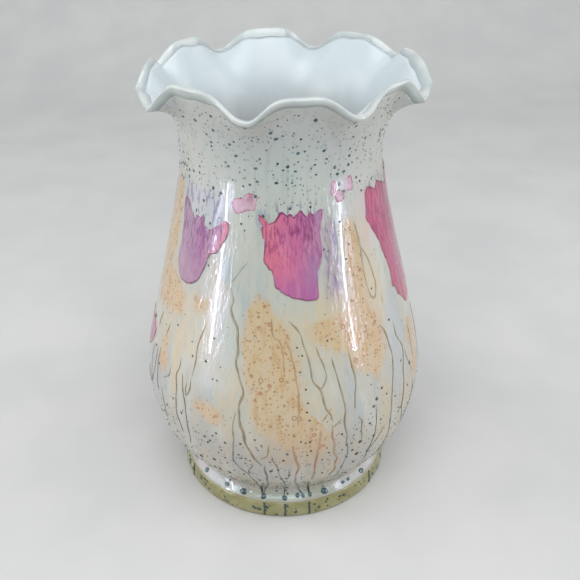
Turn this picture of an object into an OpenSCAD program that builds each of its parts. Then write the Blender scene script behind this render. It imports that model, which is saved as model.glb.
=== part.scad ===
// Hand blown art glass vase: an opal lining cased in pale glass, a ground foot ring,
// a ruffled mouth with a clear lip, and coloured glass laid on the casing while it was hot.
// Millimetres. The vase stands on the XY plane with its axis on Z and its front towards -Y.
// Angles run round the vase from the front: 0 is -Y and 90 is +X.

/* [Foot] */
// Radius of the foot at the table
foot_r = 48.4; // [47:0.2:50]
// Height of the foot ring
foot_h = 8; // [6:0.5:9]
// Inner radius of the foot ring
foot_bore_r = 38; // [34:0.5:42]

/* [Body] */
// Radius at the waist between foot and body
waist_r = 44.2; // [43.6:0.2:45]
// Largest radius of the belly
belly_r = 61.4; // [60.4:0.2:62]
// Height of the largest radius
belly_z = 53; // [50:1:56]
// Radius at the narrowest place of the neck
neck_r = 40; // [38.6:0.2:41]
// Height of the narrowest place of the neck
neck_z = 157; // [154:1:158]

/* [Glass] */
// Thickness of the pale outer casing
casing_t = 1.6; // [1.2:0.1:2]
// Thickness of the opal lining
lining_t = 1.8; // [1.4:0.1:2.2]
// Thickness of the glass under the vase's inside, casing and lining together
base_t = 6; // [5:0.5:8]
// Both layers thin to this share of their thickness at the lip
lip_thinning = 0.6; // [0.5:0.05:0.8]
// Radius of the rounded clear lip
lip_r = 1.1; // [1:0.05:1.4]

/* [Decoration] */
// How far a coloured patch stands out of the casing
patch_t = 0.3; // [0.2:0.05:0.5]
// How far an amber stain stands out of the casing
stain_t = 0.15; // [0.1:0.05:0.3]
// How far a drip trail stands out of what it lies on
trail_t = 0.6; // [0.4:0.1:1]
// Number of crumbs of coloured glass around the neck
neck_crumbs = 90; // [40:10:110]
// Number of crumbs of coloured glass on the body
body_crumbs = 90; // [40:10:110]

/* [Hidden] */

// Outline of the body's outside as [height, radius], from the top of the foot to the neck
body_outline = [
    [foot_h, foot_r - 0.7], [10, 45.8], [12.6, waist_r], [16.5, 46.6], [22, 51.2], [29, 55.4], [37, 58.5],
    [belly_z, belly_r], [67, 60.3], [85, 56.2], [104, 51.3], [123, 46.6], [141, 42.4], [neck_z, neck_r]
];
outline_step = 3;

// The hand-pulled ruffles, as [angle, height of the edge] at each lobe and each dip between lobes
ruffle = [
    [6, 189.8], [26.6, 182.6], [52, 190.1], [62, 181.3], [77, 182.4], [103, 189.6], [120, 184.2],
    [142, 190.2], [166, 180.6], [188, 190.8], [210.5, 181.3], [234, 190.5], [251, 182.2], [266, 189],
    [283, 182], [302, 180.1], [318, 190.4], [346.6, 182.5], [366, 189.8]
];
// Mean height and radius of the mouth's edge. Where the edge dips it lies further out, by this share of the dip.
rim_z = 187;
rim_r = 53.85;
rim_spread = 0.45;
// How closely the flare and the ruffles are gathered towards the lip, and the dips between the lobes
flare_power = 2.6;
ruffle_power = 4;
dip_power = 0.6;
// The mouth was pulled this far to one side, towards +X
mouth_shift = 1.4;
// Nominal height at which the flared mouth ends
mouth_top = 190;
// Nominal height at which casing and lining end and the clear glass of the lip begins
layers_top = 187.6;
mouth_segments = 120;
mouth_rings = 8;
// How far the mouth's root reaches below the neck, and how deep its faces are sunk there
root = 2;
root_sink = 0.12;

// Clearance that keeps laid-on glass from cutting into the casing
seat = 0.04;
// Largest spacing of the points of a patch and of the rings of a trail
patch_step = 5;
rings_per_span = 3;

// Beads of glass that gathered on the flare between the waist and the foot
bead_z = 10;
bead_r = 1.4;
bead_t = 0.7;
bead_angles = [-31, -21, 0, 9, 24, 52, 112, 163, 236];

// ---- Outside of the casing ----

function mix(a, b, s) = a + (b - a) * s;
function ease(s) = (1 - cos(180 * s)) / 2;
function slope_at(p, i) =
    i == 0 || i == len(p) - 1 ? 0 : (p[i + 1][1] - p[i - 1][1]) / (p[i + 1][0] - p[i - 1][0]);

// A smooth cubic through the points of the outline
function cubic(p, i, z) =
    let(h = p[i + 1][0] - p[i][0], s = (z - p[i][0]) / h, m0 = slope_at(p, i) * h, m1 = slope_at(p, i + 1) * h)
    (2 * s ^ 3 - 3 * s ^ 2 + 1) * p[i][1] + (s ^ 3 - 2 * s ^ 2 + s) * m0
        + (3 * s ^ 2 - 2 * s ^ 3) * p[i + 1][1] + (s ^ 3 - s ^ 2) * m1;
function span_of(p, x, i = 0) = i >= len(p) - 2 || x < p[i + 1][0] ? i : span_of(p, x, i + 1);
function body_radius(z) = cubic(body_outline, span_of(body_outline, z), z);
function body_slope(z) = let(dz = 0.05) (body_radius(z + dz) - body_radius(z - dz)) / (2 * dz);

// Height of the mouth's edge at an angle. A lobe is broad and the dip beside it is narrow.
function wrapped(a) = let(first = ruffle[0][0], turn = (a - first) % 360) first + (turn < 0 ? turn + 360 : turn);
function pulled(s) = ease(ease(s ^ dip_power));
function edge_height(a) =
    let(
        w = wrapped(a),
        i = span_of(ruffle, w),
        s = (w - ruffle[i][0]) / (ruffle[i + 1][0] - ruffle[i][0]),
        from = ruffle[i][1],
        to = ruffle[i + 1][1]
    )
    from < to ? mix(from, to, pulled(s)) : mix(to, from, pulled(1 - s));

// [radius, height, outward lean, share of the mouth's shift] of the outside, at a nominal height and an angle
function mouth_section(u, a) =
    let(
        t = (u - neck_z) / (mouth_top - neck_z),
        rise = rim_z - neck_z,
        flare = rim_r - neck_r,
        dip = edge_height(a) - rim_z,
        wave = dip * t ^ ruffle_power,
        wave_slope = dip * ruffle_power * t ^ (ruffle_power - 1),
        flare_slope = flare * flare_power * t ^ (flare_power - 1)
    )
    [
        neck_r + flare * t ^ flare_power - rim_spread * wave,
        neck_z + rise * t + wave,
        atan2(flare_slope - rim_spread * wave_slope, rise + wave_slope),
        t ^ 2
    ];
function section(u, a) = u <= neck_z ? [body_radius(u), u, atan(body_slope(u)), 0] : mouth_section(u, a);

// The point at a nominal height and an angle, lifted off the outside by some distance
function lifted(s, a, lift) =
    let(r = s[0] + lift * cos(s[2]), z = s[1] - lift * sin(s[2]))
    [r * sin(a) + mouth_shift * s[3], -r * cos(a), z];
function skin(u, a, lift = 0) = lifted(section(u, a), a, lift);

// ---- Building blocks ----

// Joins closed rings of points, each with n points, into a closed band
module ring_band(rings, closed = true) {
    n = len(rings[0]);
    m = len(rings);
    last = closed ? m - 1 : m - 2;
    points = [for (ring = rings) each ring];
    sides = [
        for (k = [0:last], i = [0:n - 1])
            let(j = (i + 1) % n, next = (k + 1) % m)
            each [[k * n + i, next * n + i, next * n + j], [k * n + i, next * n + j, k * n + j]]
    ];
    caps = closed ? [] : [[for (i = [0:n - 1]) i], [for (i = [n - 1:-1:0]) (m - 1) * n + i]];
    polyhedron(points, concat(sides, caps));
}

// The ruffled mouth of a layer that lies between two depths under the outside. It is rooted a little below
// the neck, where both of its faces are sunk into the body's wall so that the two join cleanly.
function thinned(depth, u) = u <= neck_z ? depth
    : depth * mix(1, lip_thinning, (u - neck_z) / (mouth_top - neck_z));
function sunk(u) = root_sink * min(1, (mouth_top - u) / (mouth_top - neck_z));
function mouth_ring(u, depth) =
    [for (i = [0:mouth_segments - 1]) let(a = 360 * i / mouth_segments) skin(u, a, -depth)];
module mouth(outer_depth, inner_depth) {
    heights = [neck_z - root, for (k = [0:mouth_rings]) mix(neck_z, layers_top, k / mouth_rings)];
    up = [for (u = heights) mouth_ring(u, thinned(outer_depth, u) + sunk(u))];
    down = [for (u = reversed(heights)) mouth_ring(u, thinned(inner_depth, u) - sunk(u))];
    ring_band(concat(down, up));
}

// Half outline of a layer's body: outside up to the neck, inside down to its floor
function side_points(depth, low, high) =
    let(n = ceil((high - low) / outline_step))
    [
        for (k = [0:n])
            let(u = mix(low, high, k / n), lean = atan(body_slope(u)))
            [body_radius(u) - depth * cos(lean), u + depth * sin(lean)]
    ];
function reversed(list) = [for (i = [len(list) - 1:-1:0]) list[i]];
module layer(outside, inside) {
    rotate_extrude($fn = mouth_segments) polygon(concat(outside, reversed(inside)));
}

// A patch of glass laid on the casing between two angles. Its upper and lower edges are given as heights
// at even steps between them, and it thins to nothing at its rim.
function along(list, s) =
    let(x = s * (len(list) - 1), i = min(floor(x), len(list) - 2))
    mix(list[i], list[i + 1], ease(x - i));
module laid_on(left, right, tops, bottoms, thickness) {
    wide = (right - left) / 360 * 2 * PI * belly_r;
    tall = max(tops) - min(bottoms);
    cols = ceil(wide / patch_step);
    rows = ceil(tall / patch_step);
    function rim(c, r) = c == 0 || c == cols || r == 0 || r == rows ? 0.35 : 1;
    function spot(c, r, out) =
        let(s = c / cols, u = mix(along(bottoms, s), along(tops, s), r / rows))
        skin(u, mix(left, right, s), seat + out * rim(c, r));
    front = [for (r = [0:rows]) [for (c = [0:cols]) spot(c, r, thickness)]];
    back = [for (r = [0:rows]) [for (c = [cols:-1:0]) spot(c, r, 0)]];
    closed_sheet(front, back, cols, rows);
}

// Closes a front and a back grid of points into one solid. Each row's loop runs there and back.
module closed_sheet(front, back, cols, rows) {
    n = 2 * (cols + 1);
    points = [for (r = [0:rows]) each concat(front[r], back[r])];
    sides = [
        for (r = [0:rows - 1], i = [0:n - 1])
            let(j = (i + 1) % n)
            each [[r * n + i, (r + 1) * n + i, (r + 1) * n + j], [r * n + i, (r + 1) * n + j, r * n + j]]
    ];
    ends = [
        for (c = [0:cols - 1])
            let(f = n - 1 - c, top = rows * n)
            each [
                [c, c + 1, f - 1], [c, f - 1, f],
                [top + c, top + f, top + f - 1], [top + c, top + f - 1, top + c + 1]
            ]
    ];
    polyhedron(points, concat(sides, ends));
}

// A thread of glass that ran down the vase. Its path holds [angle, height] points.
function between(p, i, s) = mix(p[i], p[i + 1], s);
function path_rings(p) = concat(
    [for (i = [0:len(p) - 2], k = [0:rings_per_span - 1]) between(p, i, k / rings_per_span)],
    [p[len(p) - 1]]
);
function degrees_per_mm(u) = 180 / PI / section(u, 0)[0];
function thread_section(w, t) = [[-w, 0], [-0.65 * w, 0.7 * t], [0, t], [0.65 * w, 0.7 * t], [w, 0]];
module trail(path, width = 1.1) {
    q = path_rings(path);
    last = len(q) - 1;
    function heading(i) =
        let(a = q[max(i - 1, 0)], b = q[min(i + 1, last)], side = (b[0] - a[0]) / degrees_per_mm(a[1]), down = b[1] - a[1])
        [side, down] / norm([side, down]);
    function size(i) = i == 0 || i == last ? 0.45 : 1;
    function ring(i) =
        let(d = heading(i), k = degrees_per_mm(q[i][1]))
        [
            for (c = thread_section(width / 2 * size(i), trail_t * size(i)))
                skin(q[i][1] + c[0] * d[0], q[i][0] - c[0] * d[1] * k, seat + c[1])
        ];
    ring_band([for (i = [last:-1:0]) ring(i)], closed = false);
}
module trails(paths) {
    for (path = paths) trail(path);
}

// A round crumb or bead of glass lying on the casing
module crumb(u, a, r, t) {
    s = section(u, a);
    translate(skin(u, a, seat))
        rotate([0, 0, a])
            rotate([90 - s[2], 0, 0])
                cylinder(h = t, r1 = r, r2 = 0.75 * r, $fn = 24);
}

// ---- Paths of the drip trails ----

olive_front = [
    [[-27, 124], [-22, 110], [-20, 100], [-19.5, 88], [-19.8, 76], [-18, 65], [-14, 55], [-10, 43], [-8, 34],
     [-9, 24], [-11, 15]],
    [[-21, 62], [-20.5, 50], [-20, 40], [-17, 33], [-14, 27]],
    [[8, 103], [10, 90], [13.5, 79], [17, 70], [18.5, 60], [21, 46], [21, 32]],
    [[19, 92], [22.5, 80], [23.5, 62], [25, 46], [24, 32], [25, 19]]
];
russet_front = [
    [[-1.5, 104], [3.2, 92], [6, 82], [7.6, 70]],
    [[3, 52], [5, 42], [5, 28], [7, 14]],
    [[13.5, 62], [12.5, 50], [12, 38], [12.5, 26], [13, 14]],
    [[-3, 46], [-1.5, 34], [0, 22]]
];
right_side = [
    [[37, 60], [38, 48], [37, 30]],
    [[31, 62], [31.5, 50], [31, 38]],
    [[40.5, 147], [42.5, 133], [43.5, 116], [47.5, 102], [49.5, 86], [49, 70], [47, 52], [48, 28]],
    [[52, 98], [56, 87], [59, 77], [57, 66], [56, 52], [60, 38]],
    [[61, 78], [64, 66], [62, 54]],
    [[84, 88], [86, 72], [84, 54], [87, 36]]
];
left_side = [
    [[-38, 98], [-39, 82], [-41, 70], [-40, 50]],
    [[-48, 76], [-47, 60], [-45.5, 44]],
    [[-43.5, 76], [-42.5, 58], [-42.5, 36]],
    [[-56.5, 92], [-58, 74], [-56, 52]],
    [[-65, 80], [-67, 60], [-64, 44]],
    [[-79, 60], [-77, 50], [-79, 34]]
];
// The back carries the same kind of trails, spread evenly with a wandering course
back_starts = [104, 118, 133, 149, 166, 182, 197, 214, 229, 246, 259];
function back_trail(i) = [
    for (k = [0:5]) [back_starts[i] + 2.5 * sin(70 * k + 130 * i), mix(78 - 9 * (i % 3), 18 + 5 * (i % 2), k / 5)]
];
back_side = [for (i = [0:len(back_starts) - 1]) back_trail(i)];
all_paths = concat(olive_front, russet_front, right_side, left_side, back_side);

// ---- Crumbs ----

// Pseudo-random [height, angle, radius] of crumbs, without those that would lie on a trail
function scattered(count, low, high, small, large, seed) =
    let(
        heights = rands(low, high, count, seed),
        turns = rands(0, 137, count, seed + 1),
        sizes = rands(0, 1, count, seed + 2)
    )
    [for (i = [0:count - 1]) [heights[i], (137.5 * i + turns[i] / 6) % 360, mix(small, large, sizes[i] ^ 2)]];
function on_path(spot, path, room) =
    len([
        for (q = path_rings(path))
            let(turn = abs((q[0] - spot[1]) % 360), apart = min(turn, 360 - turn) / degrees_per_mm(spot[0]))
            if (norm([apart, q[1] - spot[0]]) < room) 1
    ]) > 0;
function free(spot, room) = len([for (path = all_paths) if (on_path(spot, path, room)) 1]) == 0;

// ---- Nodes ----

module outer_casing() {
    color("Honeydew") union() {
        outside = side_points(0, foot_h, neck_z);
        floor_z = foot_h + base_t / 2;
        inside = side_points(casing_t, floor_z + 1.5, neck_z);
        layer(concat([[0, foot_h]], outside), concat([[0, floor_z], [waist_r - 4, floor_z]], inside));
        mouth(0, casing_t);
    }
}
module opal_lining() {
    color("AliceBlue") union() {
        under = foot_h + base_t / 2;
        floor_z = foot_h + base_t;
        outside = side_points(casing_t, under + 1.5, neck_z);
        inside = side_points(casing_t + lining_t, floor_z + 1.5, neck_z);
        layer(
            concat([[0, under], [waist_r - 4, under]], outside),
            concat([[0, floor_z], [waist_r - 7, floor_z]], inside)
        );
        mouth(casing_t, casing_t + lining_t);
    }
}
module lip_bead() {
    total_t = casing_t + lining_t;
    bead_u = mouth_top - lip_r;
    band = [layers_top + seat, bead_u - lip_r / 2];
    function round_point(s, a, b) =
        let(up = lip_r * cos(b), out = lip_r * sin(b) - thinned(total_t, mouth_top) / 2)
        lifted([s[0] + up * sin(s[2]), s[1] + up * cos(s[2]), s[2], s[3]], a, out);
    function lip_section(a) =
        let(edge = section(bead_u, a))
        concat(
            [for (u = reversed(band)) skin(u, a, -thinned(total_t, u))],
            [for (u = band) skin(u, a)],
            [for (b = [80:-40:-80]) round_point(edge, a, b)]
        );
    color("PaleTurquoise") ring_band([for (i = [0:mouth_segments - 1]) lip_section(360 * i / mouth_segments)]);
}
module foot_ring() {
    worn = 0.8;
    color("DarkKhaki") rotate_extrude($fn = mouth_segments) polygon([
        [foot_bore_r + 1.5, 0], [foot_r - 1.2, 0], [foot_r - 0.3, worn / 3], [foot_r, worn],
        [foot_r - 0.7, foot_h], [foot_bore_r - 1, foot_h], [foot_bore_r, foot_h - 2], [foot_bore_r, 1]
    ]);
}
module pontil_mark() {
    color("Gainsboro") translate([0, 0, foot_h]) rotate_extrude($fn = 48)
        polygon([[0, 0], [15, 0], [14.2, -0.8], [9, -0.9], [4, -0.45], [0, -0.3]]);
}
module rose_patch_front() {
    color("PaleVioletRed") laid_on(
        -12, 22, [145, 143, 147, 146, 147.5, 146, 143], [141, 127, 118, 114, 112, 113, 126], patch_t
    );
}
module rose_patch_left() {
    color("Orchid") laid_on(
        -63, -29, [145, 147, 143, 146, 144, 140], [135, 115, 112, 115, 127, 133], patch_t
    );
}
module rose_patch_right() {
    color("HotPink") laid_on(
        45, 90, [141, 149, 150, 149, 150, 150, 148], [136, 122, 106, 96, 92, 94, 104], patch_t
    );
}
module rose_patch_far_left() {
    color("Crimson") laid_on(-96, -72, [80, 83, 84, 82, 79], [72, 66, 64, 70, 76], patch_t);
}
module rose_patch_back() {
    color("Orchid") {
        laid_on(118, 152, [144, 147, 146, 147, 143], [138, 120, 112, 116, 132], patch_t);
        laid_on(178, 214, [143, 148, 146, 148, 142], [137, 116, 108, 114, 130], patch_t);
        laid_on(238, 268, [142, 146, 147, 145, 141], [136, 124, 116, 120, 133], patch_t);
    }
}
module pink_blot_left() {
    color("Pink") laid_on(-27, -12, [147, 150, 152, 151], [145, 144, 145, 147], stain_t);
}
module pink_blot_right() {
    color("Pink") laid_on(24, 41, [152, 154, 156, 155], [150, 149, 148, 151], stain_t);
}
module amber_stain_front() {
    color("BurlyWood") laid_on(
        -17.5, 6, [112, 116, 112, 104, 90, 70], [74, 60, 55, 55, 58, 64], stain_t
    );
}
module amber_stain_front_right() {
    color("BurlyWood") laid_on(
        25, 41, [106, 138, 140, 112], [90, 79, 76, 80], stain_t
    );
}
module amber_stain_low() {
    color("BurlyWood") laid_on(-38, -24, [66, 68.5, 68, 64], [62, 58.5, 58, 61], stain_t);
}
module amber_stain_left() {
    color("BurlyWood") {
        laid_on(-86, -69, [146, 150, 148, 120], [98, 90, 88, 96], stain_t);
        laid_on(-55, -44, [108, 110, 106], [96, 84, 88], stain_t);
    }
}
module amber_stain_right() {
    color("BurlyWood") laid_on(67, 80, [80, 86, 84, 80], [72, 64, 62, 70], stain_t);
}
module amber_stain_back() {
    color("BurlyWood") {
        for (a = [110, 156, 220])
            laid_on(a, a + 20, [104, 110, 106, 96], [92, 84, 82, 88], stain_t);
    }
}
module olive_trails_front() {
    color("DarkOliveGreen") trails(olive_front);
}
module russet_trails_front() {
    color("Sienna") trails(russet_front);
}
module trails_right() {
    color("DarkSlateGray") trails(right_side);
}
module trails_left() {
    color("SlateGray") trails(left_side);
}
module trails_back() {
    color("DarkOliveGreen") trails(back_side);
}
module neck_frit() {
    color("CadetBlue")
        for (spot = scattered(neck_crumbs, 158, 180, 0.5, 1.1, 5)) crumb(spot[0], spot[1], spot[2], 0.4);
}
module body_frit() {
    color("DarkSlateGray")
        for (spot = scattered(body_crumbs, 20, 50, 0.4, 1, 11))
            if (free(spot, 2.4)) crumb(spot[0], spot[1], spot[2], 0.4);
}
module foot_frit() {
    color("Black")
        for (spot = scattered(48, 2, foot_h - 2, 0.35, 0.8, 23))
            translate([(foot_r - 0.1) * sin(spot[1]), -(foot_r - 0.1) * cos(spot[1]), spot[0]])
                rotate([0, 0, spot[1]])
                    rotate([95, 0, 0])
                        cylinder(h = 0.45, r = spot[2], $fn = 24);
}
module foot_beads() {
    color("Teal")
        for (a = bead_angles) crumb(bead_z, a, bead_r, bead_t);
}

outer_casing();
opal_lining();
lip_bead();
foot_ring();
pontil_mark();
rose_patch_front();
rose_patch_left();
rose_patch_right();
rose_patch_far_left();
rose_patch_back();
pink_blot_left();
pink_blot_right();
amber_stain_front();
amber_stain_front_right();
amber_stain_low();
amber_stain_left();
amber_stain_right();
amber_stain_back();
olive_trails_front();
russet_trails_front();
trails_right();
trails_left();
trails_back();
neck_frit();
body_frit();
foot_frit();
foot_beads();
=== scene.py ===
"""Looks of a hand blown art glass vase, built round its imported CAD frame.

Angles run round the vase in degrees from the front: 0 is -Y and 90 is +X. Sizes are in millimetres, as in
the design, and become metres when a mesh is made.
"""
import math

import bmesh
import bpy
import numpy as np
from mathutils import Matrix, Vector


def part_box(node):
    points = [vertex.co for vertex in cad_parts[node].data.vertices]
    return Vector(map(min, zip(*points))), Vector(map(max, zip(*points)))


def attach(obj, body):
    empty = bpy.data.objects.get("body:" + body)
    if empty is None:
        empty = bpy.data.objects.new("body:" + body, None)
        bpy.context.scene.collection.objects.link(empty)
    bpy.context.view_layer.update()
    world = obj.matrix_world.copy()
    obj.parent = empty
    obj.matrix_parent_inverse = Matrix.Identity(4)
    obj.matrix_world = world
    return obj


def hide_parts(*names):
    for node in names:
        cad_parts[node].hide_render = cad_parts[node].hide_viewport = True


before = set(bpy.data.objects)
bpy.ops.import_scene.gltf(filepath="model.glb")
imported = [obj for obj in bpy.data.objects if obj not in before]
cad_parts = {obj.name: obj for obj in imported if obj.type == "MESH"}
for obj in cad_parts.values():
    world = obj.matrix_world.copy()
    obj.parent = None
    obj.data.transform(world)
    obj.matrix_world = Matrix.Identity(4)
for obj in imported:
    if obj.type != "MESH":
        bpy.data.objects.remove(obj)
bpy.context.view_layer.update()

MM = 0.001

# ---- The vase's form, as in the CAD ----

FOOT_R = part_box("foot_ring")[1].x / MM
FOOT_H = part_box("foot_ring")[1].z / MM
FOOT_BORE_R = 38
BELLY_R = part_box("outer_casing")[1].x / MM
NECK_R, NECK_Z = 40, 157
MOUTH_TOP, MOUTH_SHIFT = 190, 1.4
RIM_Z, RIM_R, RIM_SPREAD = 187, 53.85, 0.45
FLARE_POWER, RUFFLE_POWER, DIP_POWER = 2.6, 4, 0.6
LAYERS_TOP = 187.6
CASING_T, LINING_T, BASE_T = 1.6, 1.8, 6
LIP_THINNING = 0.6
LIP_R = 1.1
GAP = 0.05

# Height and radius of the body's outside, and angle and height of the mouth's edge at each lobe and dip
OUTLINE = np.array([
    [FOOT_H, FOOT_R - 0.7], [10, 45.8], [12.6, 44.2], [16.5, 46.6], [22, 51.2], [29, 55.4], [37, 58.5],
    [53, BELLY_R], [67, 60.3], [85, 56.2], [104, 51.3], [123, 46.6], [141, 42.4], [NECK_Z, NECK_R],
])
RUFFLE = np.array([
    [6, 189.8], [26.6, 182.6], [52, 190.1], [62, 181.3], [77, 182.4], [103, 189.6], [120, 184.2],
    [142, 190.2], [166, 180.6], [188, 190.8], [210.5, 181.3], [234, 190.5], [251, 182.2], [266, 189],
    [283, 182], [302, 180.1], [318, 190.4], [346.6, 182.5], [366, 189.8],
])


def ease(s):
    return (1 - np.cos(np.pi * s)) / 2


def smoothstep(low, high, x):
    s = np.clip((x - low) / (high - low), 0, 1)
    return s * s * (3 - 2 * s)


def span_of(knots, x):
    return np.clip(np.searchsorted(knots, x, side="right") - 1, 0, len(knots) - 2)


def body_radius(z):
    """A smooth cubic through the points of the outline."""
    x, y = OUTLINE.T
    slope = np.zeros(len(x))
    slope[1:-1] = (y[2:] - y[:-2]) / (x[2:] - x[:-2])
    i = span_of(x, z)
    h = x[i + 1] - x[i]
    s = (z - x[i]) / h
    start = (2 * s**3 - 3 * s**2 + 1) * y[i] + (s**3 - 2 * s**2 + s) * slope[i] * h
    end = (3 * s**2 - 2 * s**3) * y[i + 1] + (s**3 - s**2) * slope[i + 1] * h
    return start + end


def edge_height(a):
    """Height of the mouth's edge at an angle. A lobe is broad and the dip beside it is narrow."""
    w = (a - RUFFLE[0, 0]) % 360 + RUFFLE[0, 0]
    i = span_of(RUFFLE[:, 0], w)
    s = (w - RUFFLE[i, 0]) / (RUFFLE[i + 1, 0] - RUFFLE[i, 0])
    start, end = RUFFLE[i, 1], RUFFLE[i + 1, 1]
    pulled = ease(ease(np.where(start < end, s, 1 - s) ** DIP_POWER))
    return np.minimum(start, end) + np.abs(end - start) * pulled


def section(u, a):
    """The outside's radius, height, outward lean and share of the mouth's shift, at heights and angles."""
    u, a = np.broadcast_arrays(np.asarray(u, float), np.asarray(a, float))
    low, step = np.minimum(u, NECK_Z), 0.05
    in_mouth = u > NECK_Z
    t = np.clip((u - NECK_Z) / (MOUTH_TOP - NECK_Z), 0, None)
    rise, flare, dip = RIM_Z - NECK_Z, RIM_R - NECK_R, edge_height(a) - RIM_Z
    wave = dip * t**RUFFLE_POWER
    wave_slope = dip * RUFFLE_POWER * t ** (RUFFLE_POWER - 1)
    flare_slope = flare * FLARE_POWER * t ** (FLARE_POWER - 1)
    radius = np.where(in_mouth, NECK_R + flare * t**FLARE_POWER - RIM_SPREAD * wave, body_radius(low))
    height = np.where(in_mouth, NECK_Z + rise * t + wave, u)
    mouth_lean = np.arctan2(flare_slope - RIM_SPREAD * wave_slope, rise + wave_slope)
    body_slope = (body_radius(low + step) - body_radius(low - step)) / (2 * step)
    return radius, height, np.where(in_mouth, mouth_lean, np.arctan(body_slope)), t**2


# ---- Small unevenness of blown glass ----

def make_waves(seed, count, shortest, longest):
    """Directions, wave numbers and phases of waves that add up to a smooth random field."""
    rng = np.random.default_rng(seed)
    ways = rng.normal(size=(count, 3))
    ways /= np.linalg.norm(ways, axis=1)[:, None]
    lengths = np.exp(rng.uniform(math.log(shortest), math.log(longest), count))
    return ways * (2 * np.pi / lengths)[:, None], rng.uniform(0, 2 * np.pi, count), lengths / longest


def field(points, waves):
    ways, phases, sizes = waves
    total = np.zeros(points.shape[:-1])
    for way, phase, size in zip(ways, phases, sizes):
        total += size * np.sin(points @ way + phase)
    return total / np.sqrt((sizes**2).sum() / 2)


HAND_WAVES = make_waves(3, 14, 18, 80)
HAND_DEPTH = 0.12


def skin(u, a, lift=0.0):
    """Points lifted off the outside at nominal heights and angles. All pieces share the same unevenness."""
    radius, height, lean, shift = section(u, a)
    turn = np.radians(a)
    out = np.stack([np.sin(turn) * np.ones_like(radius), -np.cos(turn) * np.ones_like(radius)], -1)
    plain = np.concatenate([out * radius[..., None], height[..., None]], -1)
    lift = lift + HAND_DEPTH * field(plain, HAND_WAVES)
    points = np.empty(radius.shape + (3,))
    points[..., :2] = out * (radius + lift * np.cos(lean))[..., None]
    points[..., 0] += MOUTH_SHIFT * shift
    points[..., 2] = height - lift * np.sin(lean)
    return points


# ---- Meshes ----

class Shape:
    """Points, faces and one vector per point, gathered from several closed parts."""

    def __init__(self):
        self.points, self.marks, self.faces, self.count = [], [], [], 0

    def add(self, points, faces, marks=None):
        points = np.asarray(points, float).reshape(-1, 3)
        marks = np.zeros_like(points) if marks is None else np.asarray(marks, float).reshape(-1, 3)
        self.points.append(points)
        self.marks.append(marks)
        self.faces += [np.asarray(f, int) + self.count for f in faces if len(f)]
        self.count += len(points)

    def add_capped(self, rings, tips, marks=None):
        """Rings of points in order, closed by a tip at each end. The marks of the tips come last."""
        rows, cols = len(rings), len(rings[0])
        ring = np.arange(cols)
        self.add(np.concatenate([*rings, *tips]), [
            band_faces(rows, cols),
            fan_faces(rows * cols, ring),
            fan_faces(rows * cols + 1, ring + (rows - 1) * cols),
        ], None if marks is None else np.concatenate(marks))


def band_faces(rows, cols, wrap_rows=False):
    """Quads of a grid of points whose columns close on themselves."""
    r = np.arange(rows if wrap_rows else rows - 1)
    c = np.arange(cols)
    r, c = np.meshgrid(r, c, indexing="ij")
    up, right = (r + 1) % rows, (c + 1) % cols
    return np.stack([r * cols + c, r * cols + right, up * cols + right, up * cols + c], -1).reshape(-1, 4)


def fan_faces(centre, ring):
    """Triangles from a point to a ring of points."""
    return np.stack([np.full(len(ring), centre), ring, np.roll(ring, -1)], -1)


def make_piece(name, node, shape, material):
    """One visible piece, which stands for a node of the CAD."""
    mesh = bpy.data.meshes.new(name)
    points = np.concatenate(shape.points) * MM
    sizes = np.concatenate([np.full(len(f), f.shape[1]) for f in shape.faces])
    corners = np.concatenate([f.ravel() for f in shape.faces])
    starts = np.concatenate([[0], np.cumsum(sizes)[:-1]])
    mesh.vertices.add(len(points))
    mesh.vertices.foreach_set("co", points.ravel())
    mesh.loops.add(len(corners))
    mesh.loops.foreach_set("vertex_index", corners.astype(np.int32))
    mesh.polygons.add(len(sizes))
    mesh.polygons.foreach_set("loop_start", starts.astype(np.int32))
    mesh.polygons.foreach_set("use_smooth", np.ones(len(sizes), bool))
    mesh.update(calc_edges=True)
    marks = mesh.attributes.new("place", "FLOAT_VECTOR", "POINT")
    marks.data.foreach_set("vector", np.concatenate(shape.marks).ravel())
    solid = bmesh.new()
    solid.from_mesh(mesh)
    bmesh.ops.recalc_face_normals(solid, faces=solid.faces)
    solid.to_mesh(mesh)
    solid.free()
    mesh.materials.append(material)
    piece = bpy.data.objects.new(name, mesh)
    bpy.context.scene.collection.objects.link(piece)
    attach(piece, "root")
    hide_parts(node)


# ---- Materials ----

def srgb(*rgb):
    """A colour given as it looks on a screen, 0 to 255, as the linear colour that a shader takes."""
    c = np.array(rgb) / 255
    return (*np.where(c <= 0.04045, c / 12.92, ((c + 0.055) / 1.055) ** 2.4), 1.0)


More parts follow.
